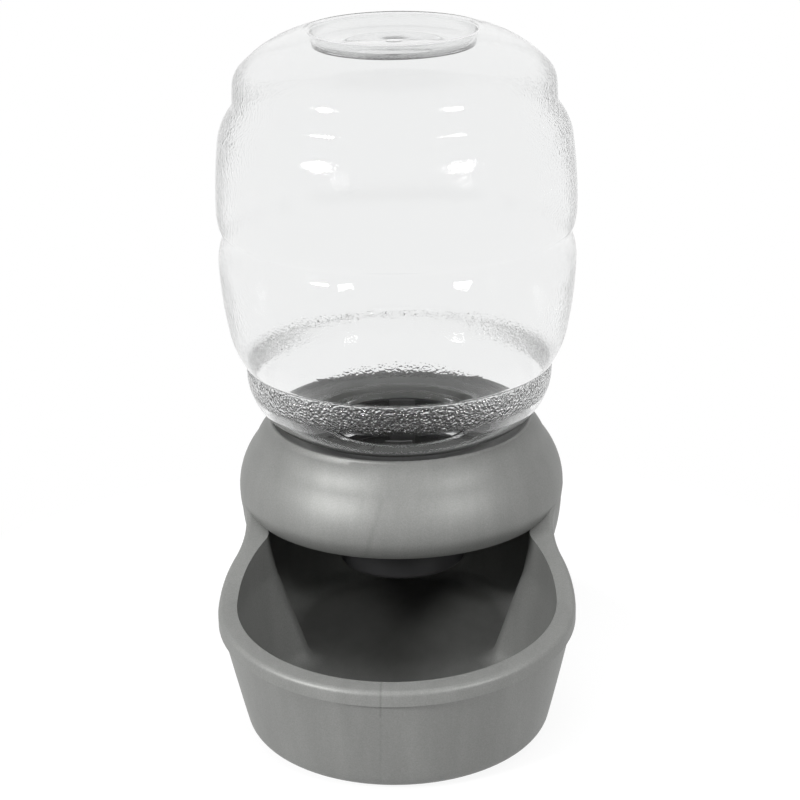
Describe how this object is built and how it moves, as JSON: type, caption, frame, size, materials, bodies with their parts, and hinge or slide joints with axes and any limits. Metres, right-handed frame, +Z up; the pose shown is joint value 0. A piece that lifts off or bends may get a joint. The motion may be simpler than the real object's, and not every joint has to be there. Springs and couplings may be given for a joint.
{
  "type": "gravity pet water dispenser",
  "caption": "Gravity pet water dispenser: a grey one-piece base with an open drinking bowl and a domed seat, holding a clear upside-down bottle closed by a screw cap with a filter.",
  "frame": {"origin": "centre of the overall footprint at the undersides of the feet", "axes": "+Z up along the bottle, -Y towards the drinking bowl, +X to the right seen from the bowl's side"},
  "size_m": [0.1802, 0.27, 0.3262],
  "materials": {
    "base_plastic": "satin, fine grain",
    "bottle_plastic": "clear, pebbled bands",
    "cap_plastic": "satin",
    "gasket_rubber": "matte",
    "basket_plastic": "satin",
    "felt": "matte fibres",
    "carbon": "matte grains",
    "foot_rubber": "matte"
  },
  "bodies": {
    "dispenser": {"base": "base_plastic", "bottle": "bottle_plastic", "foot_front_left": "foot_rubber", "foot_front_right": "foot_rubber", "foot_rear_left": "foot_rubber", "foot_rear_right": "foot_rubber"},
    "cap_seal": {"cap_gasket": "gasket_rubber"},
    "cap": {"screw_cap": "cap_plastic", "filter_basket": "basket_plastic", "basket_lid": "basket_plastic", "felt_disc_lower": "felt", "felt_disc_upper": "felt", "carbon_disc": "carbon"}
  },
  "joints": [
    {"name": "cap_travel", "type": "slide", "parent": "dispenser", "child": "cap_seal", "axis": [0, 0, -1], "range_m": [0, 0.0051]},
    {"name": "cap_turn", "type": "hinge", "parent": "cap_seal", "child": "cap", "pos_m": [0, 0.0449, 0.1], "axis": [0, 0, -1], "range_deg": [0, 450]}
  ],
  "couplings": [
    {"joint": "cap_travel", "follows": "cap_turn", "m_per_rad": 0.00063662}
  ]
}
